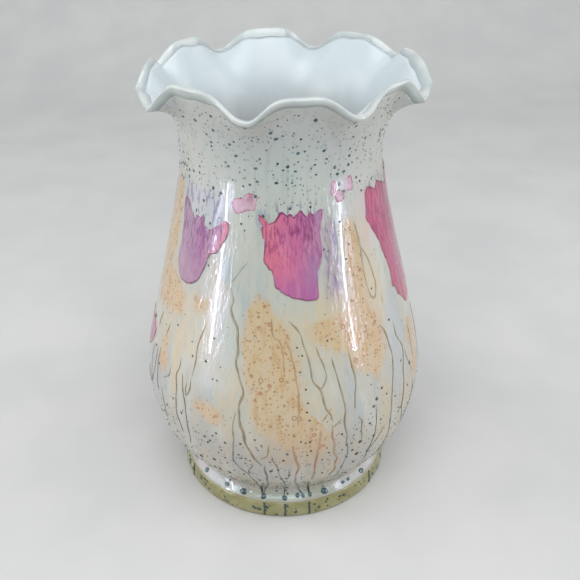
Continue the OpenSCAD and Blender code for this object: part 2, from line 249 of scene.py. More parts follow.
class Glass:
    """One procedural material, with short names for its nodes. Lengths are in millimetres. A colour is a
    socket, or the red, green and blue that it shows on a screen."""

    def __init__(self, name, roughness=0.1, subsurface=0.0, coat=0.0, film=0.0):
        self.material = bpy.data.materials.new(name)
        self.material.use_nodes = True
        self.tree = self.material.node_tree
        self.shader = self.tree.nodes["Principled BSDF"]
        self.put("Roughness", roughness)
        self.put("IOR", 1.5)
        self.put("Subsurface Weight", subsurface)
        self.put("Subsurface Radius", (1.0, 1.0, 0.9))
        self.put("Subsurface Scale", 3 * MM)
        self.put("Coat Weight", coat)
        self.put("Coat Roughness", 0.03)
        self.put("Thin Film Thickness", film)
        self.put("Thin Film IOR", 1.6)
        place = self.node("Attribute", attribute_name="place").outputs["Vector"]
        split = self.node("SeparateXYZ", {"Vector": place}).outputs
        self.across, self.rise, self.inset = split["X"], split["Y"], split["Z"]
        self.spot = self.node("TexCoord").outputs["Object"]
        split = self.node("SeparateXYZ", {"Vector": self.spot}).outputs
        self.z = self.math("MULTIPLY", split["Z"], 1 / MM)
        turn = self.math("ARCTAN2", split["X"], self.math("MULTIPLY", split["Y"], -1.0))
        self.angle = self.math("MULTIPLY", turn, 180 / math.pi)

    def put(self, name, value):
        self.link(self.shader.inputs[name], value)

    def link(self, socket, value):
        if isinstance(value, bpy.types.NodeSocket):
            self.tree.links.new(value, socket)
        else:
            socket.default_value = value

    def node(self, kind, inputs=None, **settings):
        made = self.tree.nodes.new("ShaderNode" + kind)
        for key, value in settings.items():
            setattr(made, key, value)
        for key, value in (inputs or {}).items():
            self.link(made.inputs[key], value)
        return made

    def math(self, operation, a, b=0.0, clamp=False):
        return self.node("Math", {0: a, 1: b}, operation=operation, use_clamp=clamp).outputs[0]

    def times(self, product, *factors):
        for factor in factors:
            product = self.math("MULTIPLY", product, factor)
        return product

    def step(self, x, low, high):
        """0 below low, 1 above high, and smooth between; the other way round if high is the lower."""
        values = {"Value": x, "From Min": low, "From Max": high}
        return self.node("MapRange", values, interpolation_type="SMOOTHSTEP").outputs["Result"]

    def window(self, x, low, high, soft):
        """1 between two values, with soft ends."""
        return self.times(self.step(x, low - soft, low + soft), self.step(x, high + soft, high - soft))

    def mix(self, factor, a, b):
        made = self.node("Mix", data_type="RGBA", clamp_factor=True)
        for i, value in ((0, factor), (6, a), (7, b)):
            self.link(made.inputs[i], srgb(*value) if isinstance(value, tuple) else value)
        return made.outputs[2]

    def cells(self, sideways, upright, shift):
        """The point counted in cells of a size across and up, and shifted."""
        across, up = 1 / (sideways * MM), 1 / (upright * MM)
        counted = self.node("VectorMath", {0: self.spot, 1: (across, across, up)}, operation="MULTIPLY")
        return self.node("VectorMath", {0: counted.outputs["Vector"], 1: (shift,) * 3}).outputs[0]

    def noise(self, sideways, upright, detail=3.0, roughness=0.5, shift=0.0):
        at = self.cells(sideways, upright, shift)
        values = {"Vector": at, "Scale": 1.0, "Detail": detail, "Roughness": roughness}
        return self.node("TexNoise", values).outputs["Fac"]

    def scatter(self, size, share, shift, channel):
        """How far the point is from the middle of its random cell, and 1 in a share of the cells."""
        at = self.cells(size, size, shift)
        made = self.node("TexVoronoi", {"Vector": at, "Scale": 1.0, "Randomness": 1.0}).outputs
        chance = self.node("SeparateColor", {"Color": made["Color"]}).outputs[channel]
        return made["Distance"], self.step(chance, share, share - 0.02)

    def specks(self, size, radius, share, shift=0.0):
        """Round dots of a radius, in a share of the cells of a size."""
        away, chosen = self.scatter(size, share, shift, 0)
        return self.times(chosen, self.step(away, radius / size, 0.6 * radius / size))

    def rings(self, size, radius, width, share, shift=0.0):
        """Thin rings, as left by a burst bubble or a crumb melted flat."""
        away, chosen = self.scatter(size, share, shift, 1)
        inside, outside = (radius - width / 2) / size, (radius + width / 2) / size
        return self.times(chosen, self.window(away, inside, outside, 0.3 * width / size))

    def ramp(self, factor, *stops):
        """A colour that changes along stops of (position, colour)."""
        made = self.node("ValToRGB", {"Fac": factor})
        band = made.color_ramp
        while len(band.elements) < len(stops):
            band.elements.new(0.5)
        for element, (position, colour) in zip(band.elements, stops):
            element.position = position
            element.color = srgb(*colour)
        return made.outputs["Color"]

    def relief(self, height, depth):
        """Bumps from a height between 0 and 1 that stands for a depth in millimetres."""
        made = self.node("Bump", {"Strength": 1.0, "Distance": depth * MM, "Height": height})
        self.put("Normal", made.outputs["Normal"])


# Soft tints in the casing, and one painted reflection: from and to angle, from and to height, softness,
# colour and strength
TINTS_AND_PAINTED_REFLECTION = [
    # Painted reflection: a broad pale window below the left highlight, painted into the casing as a tint.
    (-36, -20, 74, 112, 4, (192, 196, 189), 0.85),
    (-62, -28, 137, 150, 3, (186, 192, 200), 0.7),
    (20, 27, 112, 142, 3, (168, 148, 156), 0.75),
    (-30, -24, 118, 128, 2, (150, 172, 178), 0.5),
    (-76, -58, 50, 74, 5, (160, 170, 184), 0.7),
    (50, 60, 62, 104, 4, (172, 184, 188), 0.7),
    (-13, -7, 141, 147, 1.5, (140, 158, 168), 0.6),
    (43, 52, 128, 150, 3, (214, 178, 192), 0.35),
    (-6, 18, 40, 60, 5, (192, 172, 134), 0.5),
    (120, 150, 60, 100, 8, (164, 176, 184), 0.6),
    (196, 214, 64, 108, 7, (204, 207, 202), 0.7),
    (-2, 34, 90, 108, 6, (206, 186, 150), 0.6),
    (-66, -34, 84, 112, 6, (206, 194, 162), 0.55),
    (32, 48, 78, 140, 5, (208, 190, 158), 0.4),
    (-22, 20, 50, 84, 5, (204, 188, 156), 0.4),
]


# Where violet streaks run up out of the patches: from and to angle, from and to height
STREAKED = [
    (-63, -30, 138, 151), (-10, 21, 144, 149.5), (48, 90, 147, 151), (20, 27, 115, 142), (118, 152, 144, 150),
]


def pale_colour(g):
    """The casing's pale grey-green with soft upright drifts, tints, a painted reflection and dusty specks.
    Stains fade into it.
    """
    colour = g.ramp(g.math("DIVIDE", g.z, MOUTH_TOP), (0.08, (174, 173, 158)), (0.3, (181, 181, 167)),
                    (0.72, (186, 188, 178)), (0.9, (192, 200, 193)))
    body = g.window(g.z, 20, 124, 16)
    light = g.step(g.noise(12, 46, detail=2), 0.48, 0.66)
    cool = g.step(g.noise(6, 44, shift=3), 0.5, 0.66)
    warm = g.step(g.noise(10, 38, shift=7), 0.49, 0.64)
    colour = g.mix(g.times(light, 0.6), colour, (196, 199, 191))
    colour = g.mix(g.times(cool, 0.5, body), colour, (160, 174, 180))
    colour = g.mix(g.times(warm, 0.6, body), colour, (198, 184, 148))
    streaks = g.noise(1.7, 30, detail=4, roughness=0.6)
    colour = g.mix(g.times(g.step(streaks, 0.5, 0.68), 0.3), colour, (150, 160, 158))
    for left, right, low, high, soft, tint, strength in TINTS_AND_PAINTED_REFLECTION:
        full_turn = 360.0 if left > 90 else 0.0
        turn = g.math("ADD", g.angle, g.times(g.math("LESS_THAN", g.angle, 0.0), full_turn))
        place = g.times(g.window(turn, left, right, soft), g.window(g.z, low, high, 1.5 * soft))
        broken = g.math("MULTIPLY", place, g.math("ADD", 0.35, g.step(streaks, 0.36, 0.56)), clamp=True)
        colour = g.mix(g.times(broken, strength), colour, tint)
    violet = g.step(g.noise(1.1, 20, detail=2, shift=11), 0.52, 0.6)
    for left, right, low, high in STREAKED:
        place = g.times(g.window(g.angle, left, right, 1.5), g.window(g.z, low, high, 2.5))
        colour = g.mix(g.times(place, violet, 0.6), colour, (112, 108, 146))
    dust = g.times(g.specks(1.7, 0.6, 0.45), g.window(g.z, 148, 184, 6))
    fine = g.times(g.specks(2.0, 0.5, 0.5, shift=5), g.window(g.z, 11, 66, 9))
    grey = g.specks(3.6, 0.5, 0.35, shift=9)
    colour = g.mix(g.times(dust, 0.5), colour, (112, 142, 148))
    colour = g.mix(g.times(fine, 0.7), colour, (92, 104, 96))
    return g.mix(g.times(grey, 0.5), colour, (136, 146, 140))


def add_ripple(g):
    """The faint upright ripples and pits that break up the light on hot-worked glass."""
    ripple = g.noise(2.4, 16, roughness=0.55)
    pits = g.noise(0.9, 1.4, detail=2)
    g.relief(g.math("ADD", g.times(ripple, 0.8), g.times(pits, 0.2)), 0.45)


def casing_glass():
    g = Glass("pale_casing_glass", roughness=0.08, subsurface=0.1, coat=0.4, film=380)
    g.put("Base Color", pale_colour(g))
    add_ripple(g)
    return g.material


def lining_glass():
    """Milky opal, warmer deep inside, with two soft upright painted highlights at the back of the mouth."""
    g = Glass("opal_lining_glass", roughness=0.32, subsurface=0.2)
    height = g.step(g.z, 95, 178)
    colour = g.ramp(height, (0.0, (196, 178, 162)), (0.62, (196, 191, 188)), (1.0, (196, 207, 211)))
    milk = g.step(g.noise(9, 30), 0.42, 0.62)
    colour = g.mix(g.times(milk, 0.35), colour, (202, 211, 215))
    # Painted highlights: two soft pale upright bands that stand in for the side lights' reflections inside
    # the mouth.
    for turn in (-142, 156):
        band = g.times(g.window(g.angle, turn - 2, turn + 2, 8), g.window(g.z, 152, 172, 12))
        colour = g.mix(g.times(band, 0.7), colour, (232, 234, 236))
    g.put("Base Color", colour)
    g.relief(g.noise(12, 30, detail=2), 0.3)
    return g.material


def clear_glass():
    """The lip's clear glass, with a breath of milk from the opal. Its band takes after the layers below."""
    g = Glass("clear_lip_glass", roughness=0.06, subsurface=0.15, coat=0.4)
    tint = g.step(g.noise(9, 12), 0.35, 0.7)
    bead = g.mix(tint, (212, 221, 220), (230, 236, 235))
    band = g.mix(g.across, (184, 193, 187), (198, 208, 212))
    g.put("Base Color", g.mix(g.step(g.inset, 0.25, 0.95), band, bead))
    g.put("Transmission Weight", 0.38)
    g.relief(g.noise(5, 8, detail=2), 0.05)
    return g.material


def foot_glass():
    g = Glass("yellow_green_foot_glass", roughness=0.22, subsurface=0.25, coat=0.3)
    cloud = g.step(g.noise(7, 5, detail=4), 0.35, 0.68)
    colour = g.mix(cloud, (140, 136, 90), (158, 155, 114))
    lines = g.step(g.noise(1.6, 26, detail=4, roughness=0.7), 0.66, 0.72)
    colour = g.mix(g.times(lines, 0.6), colour, (62, 70, 46))
    worn = g.times(g.step(g.z, 1.1, 0.3), g.step(g.noise(2, 1), 0.3, 0.6))
    g.put("Base Color", g.mix(worn, colour, (96, 96, 74)))
    g.put("Roughness", g.math("ADD", 0.18, g.times(worn, 0.4)))
    g.relief(g.noise(2.5, 1.6, detail=4), 0.2)
    return g.material


def patch_glass(name, across_stops, low, outline, streak, mottle):
    """Coloured glass dragged down the casing. Its colour shifts from left to right and towards its lower
    edge, and it has darker upright streaks, a dark line where it pooled along its rim, and a soft edge."""
    g = Glass(name, roughness=0.1, subsurface=0.05, coat=0.5, film=380)
    wander = g.times(g.math("SUBTRACT", g.noise(5, 12), 0.5), 0.5)
    colour = g.ramp(g.math("ADD", g.across, wander), *across_stops)
    foot = g.step(g.math("ADD", g.rise, wander), 0.4, 0.05)
    colour = g.mix(g.times(foot, 0.75), colour, low)
    fine = g.noise(0.95, 60, roughness=0.6)
    broad = g.noise(3.4, 60, detail=2, shift=4)
    colour = g.mix(g.times(g.step(broad, 0.46, 0.68), 0.32), colour, mottle)
    high = g.math("ADD", 0.12, g.times(g.step(g.rise, 0.2, 0.8), 0.62))
    colour = g.mix(g.times(g.step(fine, 0.49, 0.58), high), colour, streak)
    drip = g.times(g.step(g.noise(1.4, 44, detail=1, shift=2), 0.57, 0.63), g.step(g.rise, 0.35, 0.8))
    colour = g.mix(g.times(drip, 0.5), colour, outline)
    rim_width = g.math("ADD", 0.5, g.times(g.noise(2.5, 5, detail=2, shift=6), 1.4))
    rim_width = g.math("ADD", rim_width, g.times(g.step(g.rise, 0.84, 0.98), 0.7))
    rim = g.step(g.math("DIVIDE", g.inset, rim_width), 1.0, 0.4)
    drawn = g.math("SUBTRACT", 0.95, g.times(g.step(g.across, 0.6, 0.98), 0.4))
    colour = g.mix(g.times(rim, drawn), colour, outline)
    g.put("Base Color", g.mix(g.step(g.inset, 0.0, 0.55), pale_colour(g), colour))
    g.relief(g.math("ADD", g.times(fine, 0.6), g.times(broad, 0.4)), 0.4)
    return g.material


def stain_glass(name, body, deep, spots, strength):
    """A thin stain in cloudy and streaked tones. It breaks up at its edge and fades into the casing's own
    colour, and it has flat spots and rings left by melted crumbs."""
    g = Glass(name, roughness=0.09, subsurface=0.1, coat=0.4, film=380)
    cloud = g.step(g.noise(4, 16, detail=4), 0.38, 0.64)
    colour = g.mix(cloud, body, g.mix(0.2, body, (196, 198, 190)))
    streaks = g.step(g.noise(2, 34, shift=1), 0.5, 0.68)
    colour = g.mix(g.times(streaks, 0.6), colour, deep)
    for size, radius, share, shift, dye in (
            (2.0, 0.58, 0.9, 3, 0.75), (3.2, 0.85, 0.5, 12, 0.65), (1.5, 0.42, 0.6, 15, 0.6)):
        colour = g.mix(g.times(g.specks(size, radius, share, shift), dye), colour, spots)
    colour = g.mix(g.times(g.rings(4.4, 0.85, 0.45, 0.5, shift=8), 0.8), colour, spots)
    ragged = g.times(g.math("SUBTRACT", g.noise(2.6, 9, detail=5), 0.5), 9.0)
    cover = g.times(g.step(g.math("ADD", g.inset, ragged), -0.4, 5.6), strength)
    settled = g.step(g.inset, 0.25, 0.9)
    g.put("Base Color", g.mix(g.times(cover, settled), pale_colour(g), colour))
    add_ripple(g)
    return g.material


def thread_glass(name, *heights):
    """A thread of glass: painted shade along both sides and a painted highlight along its middle, with a
    colour that changes down the vase.
    """
    g = Glass(name, roughness=0.12, coat=0.5)
    highest = 160.0
    colour = g.ramp(g.math("DIVIDE", g.z, highest), *[(z / highest, rgb) for z, rgb in heights])
    off_middle = g.math("ABSOLUTE", g.across)
    # Painted shade: the rounded thread darkens towards both sides.
    colour = g.mix(g.times(g.step(off_middle, 0.35, 0.8), 0.4), colour, (104, 92, 66))
    # Painted highlight: a lighter middle along the thread's crown, fading in between 30 and 60 mm up.
    painted_crown_highlight = g.times(g.step(off_middle, 0.45, 0.1), g.step(g.z, 30, 60))
    colour = g.mix(g.times(painted_crown_highlight, 0.45), colour, (180, 168, 136))
    patchy = g.step(g.noise(1.5, 6), 0.46, 0.62)
    colour = g.mix(g.times(patchy, 0.25), colour, (72, 76, 66))
    thin = g.step(g.noise(1.5, 9, detail=2, shift=5), 0.46, 0.6)
    g.put("Base Color", g.mix(g.times(thin, 0.35), colour, (178, 178, 164)))
    g.relief(g.noise(0.8, 2.5, detail=2), 0.15)
    return g.material


def crumb_glass(name, *colours):
    """Crumbs of glass: each takes its own colour from a range, with a lighter middle."""
    g = Glass(name, roughness=0.1, coat=0.4)
    colour = g.ramp(g.across, *[(i / (len(colours) - 1), rgb) for i, rgb in enumerate(colours)])
    middle = g.times(g.step(g.inset, 0.5, 1.0), 0.25)
    cloudy = g.times(g.step(g.noise(0.6, 0.6, detail=2), 0.45, 0.7), 0.3)
    colour = g.mix(middle, colour, (120, 146, 150))
    g.put("Base Color", g.mix(cloudy, colour, (24, 34, 36)))
    g.relief(g.noise(0.5, 0.5, detail=2), 0.06)
    return g.material


# ---- Blown layers, lip, foot and base ----

TURNS = 320
ALL_ROUND = np.arange(TURNS) * 360 / TURNS


def level_ring(radius, height):
    """A round ring at a height, for the flat parts under and inside the vase."""
    turn = np.radians(ALL_ROUND)
    return np.stack([radius * np.sin(turn), -radius * np.cos(turn), np.full(TURNS, float(height))], -1)


def thinned(depth, u):
    """Both layers thin towards the lip."""
    share = np.clip((u - NECK_Z) / (MOUTH_TOP - NECK_Z), 0, 1)
    return depth * (1 + (LIP_THINNING - 1) * share)


def sine_round(a, times, ahead=0):
    """A sine that goes so many times round the vase, some degrees ahead."""
    return np.sin(np.radians(times * a + ahead))


def opal_edge(a):
    """Where the opal and the casing's colour end under the clear lip. The edge wanders a little."""
    return LAYERS_TOP + 0.4 * (sine_round(a, 3, 40) + 0.6 * sine_round(a, 11) + 0.4 * sine_round(a, 29, 70))


def side_heights(low, high, step):
    return np.linspace(low, high, int(round((high - low) / step)) + 1)


def layer(outer, inner, base, floor, floor_r):
    """A closed layer of the vase between two depths under its outside, with a flat base and a flat floor."""
    rings = [level_ring(r, base) for r in (2, 10, 20, 30, 38, 43)]
    rising = 0.3 if outer else 0.45
    if not outer:
        rings.append(level_ring(FOOT_R - 1.5, base))
        rings.append(level_ring(FOOT_R - 1.0, base + 0.12))
    for u in side_heights(max(base, FOOT_H) + rising, NECK_Z, 0.95):
        rings.append(skin(u, ALL_ROUND, -outer))
    for shares, depth in ((np.linspace(0.02, 1, 46), outer), (np.linspace(1, 0, 30), inner)):
        for share in shares:
            u = NECK_Z + (opal_edge(ALL_ROUND) - NECK_Z) * share
            rings.append(skin(u, ALL_ROUND, -thinned(depth, u)))
    for u in side_heights(floor + 2.5, NECK_Z, 2.2)[::-1][1:]:
        rings.append(skin(u, ALL_ROUND, -inner))
    for share, drop in ((0.97, 1.2), (0.9, 0.35), (0.75, 0.0), (0.5, 0.0), (0.2, 0.0)):
        rings.append(level_ring(floor_r * share, floor + drop))
    shape = Shape()
    shape.add_capped(rings, [[(0, 0, base)], [(0, 0, floor)]])
    return shape


def make_layers():
    """The casing and the lining, a hair apart. The casing is half of the base, and the lining the other."""
    middle, top = FOOT_H + BASE_T / 2, FOOT_H + BASE_T
    shape = layer(0, CASING_T - GAP, base=FOOT_H + 0.02, floor=middle, floor_r=40.5)
    make_piece("casing_shell", "outer_casing", shape, casing_glass())
    shape = layer(CASING_T + GAP, CASING_T + LINING_T, base=middle + GAP, floor=top, floor_r=38.5)
    make_piece("opal_shell", "opal_lining", shape, lining_glass())


def make_lip():
    """The clear band above the opal and the rounded bead that closes it, as one piece of clear glass. Points
    are marked with how far through the wall they are, and how far up the band."""
    turns = 960
    a = np.arange(turns) * 360 / turns
    bead_u = MOUTH_TOP - LIP_R / 2
    middle = thinned(CASING_T + LINING_T, bead_u) / 2
    rounding = LIP_R * (1 + 0.09 * sine_round(a, 5, 20) + 0.06 * sine_round(a, 13))
    lean, turn = section(bead_u, a)[2], np.radians(a)
    along = np.stack([np.sin(lean) * np.sin(turn), -np.sin(lean) * np.cos(turn), np.cos(lean)], -1)
    shares = np.linspace(0, 1, 8)[:-1]
    start = opal_edge(a)
    band = [(start + 0.03 + (bead_u - start) * share, (rounding - middle) * smoothstep(0.2, 1, share))
            for share in shares]
    rings = [skin(u, a, swell) for u, swell in band]
    marks = [(0, 0, share) for share in shares]
    for bend in np.radians(np.arange(0, 181, 12)):
        depth = -middle + rounding * math.cos(bend)
        rings.append(skin(bead_u, a, depth) + along * (rounding * math.sin(bend))[:, None])
        marks.append((bend / np.pi, 0, 1))
    rings += [skin(u, a, -thinned(CASING_T + LINING_T, u) - swell) for u, swell in reversed(band)]
    marks += [(1, 0, share) for share in reversed(shares)]
    shape = Shape()
    faces = [band_faces(len(rings), turns, wrap_rows=True)]
    shape.add(np.concatenate(rings), faces, np.repeat(marks, turns, axis=0))
    make_piece("clear_lip", "lip_bead", shape, clear_glass())


def make_foot():
    """The foot ring: a rounded, slightly uneven rim, ground flat underneath and worn at its edge."""
    profile = [
        (FOOT_BORE_R + 0.1, 1.4), (FOOT_BORE_R + 0.5, 0.5), (FOOT_BORE_R + 1.5, 0.05), (FOOT_BORE_R + 2, 0),
        (FOOT_R - 3.5, 0), (FOOT_R - 1.4, 0), (FOOT_R - 0.8, 0.1), (FOOT_R - 0.35, 0.35), (FOOT_R - 0.1, 0.8),
        (FOOT_R - 0.02, 1.5), (FOOT_R - 0.08, 3), (FOOT_R - 0.22, 4.5),
        (FOOT_R - 0.4, 6), (FOOT_R - 0.58, 7.3),
        (FOOT_R - 0.75, FOOT_H - 0.25), (FOOT_R - 1.1, FOOT_H), (FOOT_R - 3, FOOT_H),
        (FOOT_BORE_R - 0.7, FOOT_H), (FOOT_BORE_R - 0.3, FOOT_H - 1.2), (FOOT_BORE_R, FOOT_H - 2.6),
    ]
    uneven = make_waves(21, 10, 6, 30)
    rings = []
    for r, z in profile:
        ring = level_ring(r, z)
        outer_wall = smoothstep(0.2, 1.5, z) * smoothstep(FOOT_H, FOOT_H - 1, z) * (r > FOOT_R - 2)
        ring[:, :2] *= 1 + (0.12 * outer_wall * field(ring, uneven) / r)[:, None]
        rings.append(ring)
    shape = Shape()
    shape.add(np.concatenate(rings), [band_faces(len(rings), TURNS, wrap_rows=True)])
    make_piece("ground_foot", "foot_ring", shape, foot_glass())


def ground_pontil_glass():
    g = Glass("ground_pontil_glass", roughness=0.3)
    ground = g.step(g.noise(0.5, 0.5, detail=4), 0.4, 0.65)
    g.put("Base Color", g.mix(ground, (190, 198, 190), (214, 220, 214)))
    g.put("Transmission Weight", 0.35)
    g.relief(g.noise(0.7, 0.7, detail=4), 0.1)
    return g.material


def make_pontil():
    """The ground pontil scar, a shallow dish with an uneven rim under the base."""
    uneven = make_waves(5, 8, 4, 14)
    rim = [(14.9, 0.02), (14.4, 0.45), (13.4, 0.78), (12.2, 0.88)]
    dish = [(10.5, 0.84), (8, 0.62), (5, 0.42), (2, 0.3)]
    rings = []
    for r, z in rim + dish:
        ring = level_ring(r, FOOT_H - z)
        ring[:, :2] *= 1 + (0.35 * smoothstep(8, 14, r) * field(ring, uneven) / r)[:, None]
        ring[:, 2] += 0.05 * z * field(ring + 9, uneven)
        rings.append(ring)
    shape = Shape()
    shape.add_capped(rings, [[(0, 0, FOOT_H)], [(0, 0, FOOT_H - 0.28)]])
    make_piece("pontil_scar", "pontil_mark", shape, ground_pontil_glass())


# ---- Coloured glass laid on the casing ----

def curve_between(a, b, c, d, f):
    """The smooth curve through four points, at a fraction of the way from the second to the third."""
    return 0.5 * (2 * b + (c - a) * f + (2 * a - 5 * b + 4 * c - d) * f**2 + (3 * b - a - 3 * c + d) * f**3)


def closed_curve(points, count):
    """A smooth closed curve through points."""
    p = np.asarray(points, float)
    s = np.arange(count) * len(p) / count
    i = s.astype(int)
    f = (s - i)[:, None]
    return curve_between(p[i - 1], p[i], p[(i + 1) % len(p)], p[(i + 2) % len(p)], f)


def open_curve(points, spacing):
    """A smooth curve through points, with a point about every so many millimetres."""
    p = np.asarray(points, float)
    p = np.concatenate([[2 * p[0] - p[1]], p, [2 * p[-1] - p[-2]]])
    made = []
    for a, b, c, d in zip(p, p[1:], p[2:], p[3:]):
        steps = max(2, int(np.linalg.norm(c - b) / spacing))
        made += [curve_between(a, b, c, d, f) for f in np.arange(steps) / steps]
    made.append(p[-2])
    return np.array(made)


def rough_line(count, seed, depth, finest):
    """A closed line of random heights: many small waves with ever finer and shallower ones."""
    rng = np.random.default_rng(seed)
    s = np.arange(count) / count * 2 * np.pi
    total = np.zeros(count)
    for k in range(3, finest):
        total += rng.normal() / k**0.75 * np.sin(k * s + rng.uniform(0, 2 * np.pi))
    return depth * total / total.std()


def degrees_per_mm(u):
    return 180 / np.pi / section(u, 0)[0]


# How far the underside of an applied piece lies in the casing
SUNK = -0.3


def add_patch(shape, outline, seed, thickness, rough=0.14, teeth=0.0, bevel=1.0, around=320, rings=26):
    """A patch within an outline of (angle, height) points. It sits a little into the casing, rises at its
    edge, and pools along its rim. Only its outer part follows the rough edge. Each point is marked with where
    it is across and up the patch, and how far it is from the edge in millimetres."""
    middle = np.mean(outline, axis=0)
    per_mm = degrees_per_mm(middle[1])
    edge = (closed_curve(outline, around) - middle) / [per_mm, 1]
    reach = np.linalg.norm(edge, axis=1)
    smooth_edge = edge.copy()
    edge = edge * (1 + rough_line(around, seed, rough, around // 6) / reach)[:, None]
    upward = smoothstep(0.5, 0.9, edge[:, 1] / reach)
    fingers = np.abs(np.sin(edge[:, 0] * 1.25 + 2 * np.sin(edge[:, 0] * 0.7 + seed)))
    edge[:, 1] += teeth * upward * (fingers**1.5 - 0.5)
    reach = np.linalg.norm(edge, axis=1)
    low, high = edge.min(0), edge.max(0)
    shares = 1 - (1 - np.linspace(0, 1, rings + 1)[1:]) ** 1.7
    points, marks = [], []
    grain = make_waves(seed, 10, 1.5, 7)
    for share in np.concatenate([shares, [1.0, 0.6, 0.25]]):
        under = len(points) >= rings
        rag = smoothstep(0.72, 1, share)
        flat = (smooth_edge * (1 - rag) + edge * rag) * share
        inset = reach * (1 - share)
        if under:
            lift = np.full(around, SUNK)
        else:
            pooled = 0.35 * thickness * np.exp(-((inset - bevel) / 0.7) ** 2)
            rise = np.sqrt(1 - np.clip(1 - inset / bevel, 0, 1) ** 2)
            drawn_out = np.stack([flat[:, 0], flat[:, 1] / 7, 0 * inset], -1)
            ripples = 0.18 * thickness * field(drawn_out, grain)
            lift = -0.06 + rise * (thickness + 0.06 + pooled + ripples)
        points.append(skin(middle[1] + flat[:, 1], middle[0] + flat[:, 0] * per_mm, lift))
        marks.append(np.concatenate([(flat - low) / (high - low), inset[:, None]], 1))
    tips = [skin(np.full(1, middle[1]), np.full(1, middle[0]), lift) for lift in (thickness, SUNK)]
    centre = [[*(-low / (high - low)), reach.mean()]]
    shape.add_capped(points, tips, marks + [centre, centre])


def make_patches(name, node, slot, material, outlines, seed, **form):
    """One piece of all the patches in a list of outlines."""
    shape = Shape()
    for i, outline in enumerate(outlines):
        add_patch(shape, outline, seed + i, **form)
    make_piece(name, node, shape, material)


def add_thread(shape, path, width, seed, thickness=0.24, wander=0.22, spacing=0.9):
    """A thread of glass along a path of (angle, height) points, rounded on top, with a bead here and there.
    Each point is marked with where it is across the thread, from -1 to 1."""
    rng = np.random.default_rng(seed)
    line = open_curve(path, spacing)
    count = len(line)
    travelled = np.arange(count) * spacing

    def sway(*lengths):
        return sum(np.sin(travelled / length + rng.uniform(0, 6)) for length in lengths)

    aside = sum(rng.normal() * sway(length) for length in (1.3, 2.6, 5.5)) / 1.7
    line[:, 0] += wander * aside * degrees_per_mm(line[:, 1])
    swell = 1 + 0.22 * sway(0.9, 2.3, 6) / 1.5
    ends = smoothstep(0, 3, travelled) * smoothstep(0, 1.5, travelled[::-1])
    half = width / 2 * swell * (0.35 + 0.65 * ends)
    tall = thickness * (0.3 + 0.7 * ends) * (0.85 + 0.3 * rng.random() * swell)
    per_mm = degrees_per_mm(line[:, 1])
    ahead = np.gradient(line, axis=0) / np.stack([per_mm, np.ones(count)], -1)
    ahead /= np.linalg.norm(ahead, axis=1)[:, None]
    domed = np.array([-1, -0.9, -0.65, -0.33, 0, 0.33, 0.65, 0.9, 1])
    across = np.append(domed, [0.5, -0.5])
    u = line[:, 1, None] + across * (half * ahead[:, 0])[:, None]
    a = line[:, 0, None] - across * (half * ahead[:, 1] * per_mm)[:, None]
    lift = np.full(u.shape, SUNK)
    lift[:, :len(domed)] = np.sqrt(1 - domed**2) * tall[:, None] - 0.05
    rings = skin(u, a, lift)
    marks = np.zeros(rings.shape)
    marks[..., 0] = across
    tips = [rings[0].mean(0)[None], rings[-1].mean(0)[None]]
    shape.add_capped(rings, tips, [*marks, np.zeros((2, 3))])


def make_threads(name, node, material, paths, seed):
    """One piece of all the threads in a list of (width, path) pairs."""
    shape = Shape()
    for i, (width, path) in enumerate(paths):
        add_thread(shape, path, width, seed + i)
    make_piece(name, node, shape, material)


def add_dome(shape, place, uneven, profile, top, tone):
    """A low dome: rings of (share of its width, lift), closed at its top. place gives the points at offsets
    across and up and a lift. Points are marked with a tone and with how near the middle they are."""
    around = len(uneven)
    turn = np.arange(around) * 2 * np.pi / around
    x, y = uneven * np.cos(turn), uneven * np.sin(turn)
    rings = [place(share * x, share * y, lift) for share, lift in profile]
    tips = [place(np.zeros(1), np.zeros(1), lift) for lift in (SUNK, top)]
    marks = [np.tile([tone, 0, 1 - share], (around, 1)) for share, _ in profile]
    shape.add_capped(rings, tips, marks + [[[tone, 0, 0]], [[tone, 0, 1]]])


def add_crumb(shape, u, a, across, upright, tall, tone, rng):
    """A melted crumb or bead on the casing."""
    turn = np.arange(12) * 30
    uneven = 1 + 0.08 * np.sin(np.radians(2 * turn) + rng.uniform(0, 6))
    uneven += 0.06 * np.sin(np.radians(3 * turn) + rng.uniform(0, 6))
    per_mm = degrees_per_mm(u)
    profile = [(1.0, SUNK), (1.0, -0.03), (0.94, 0.45 * tall), (0.72, 0.8 * tall), (0.4, 0.97 * tall)]

    def place(x, y, lift):
        return skin(u + upright * y, a + across * x * per_mm, lift)

    add_dome(shape, place, uneven, profile, tall, tone)


def make_crumbs(name, node, material, spots, seed):
    """One piece of crumbs in a list of (height, angle, half width, half height, thickness)."""
    rng = np.random.default_rng(seed)
    shape = Shape()
    for u, a, across, upright, tall in spots:
        add_crumb(shape, u, a, across, upright, tall, rng.random(), rng)
    make_piece(name, node, shape, material)


def scattered(count, low, high, small, large, flatness, seed, keep=lambda u, a: True):
    """Random crumbs between two heights. Most are small, and none touches another."""
    rng = np.random.default_rng(seed)
    spots = []
    while len(spots) < count:
        u, a = rng.uniform(low, high), rng.uniform(-180, 180)
        size = small + (large - small) * rng.random() ** 2.5
        longer = rng.uniform(0.92, 1.12)
        per_mm = degrees_per_mm(u)
        apart = [math.hypot((a - b) / per_mm, u - v) > size + w + 0.3 for v, b, w, _, _ in spots]
        if keep(u, a) and all(apart):
            spots.append((u, a, size * longer, size / longer, flatness * size))
    return spots


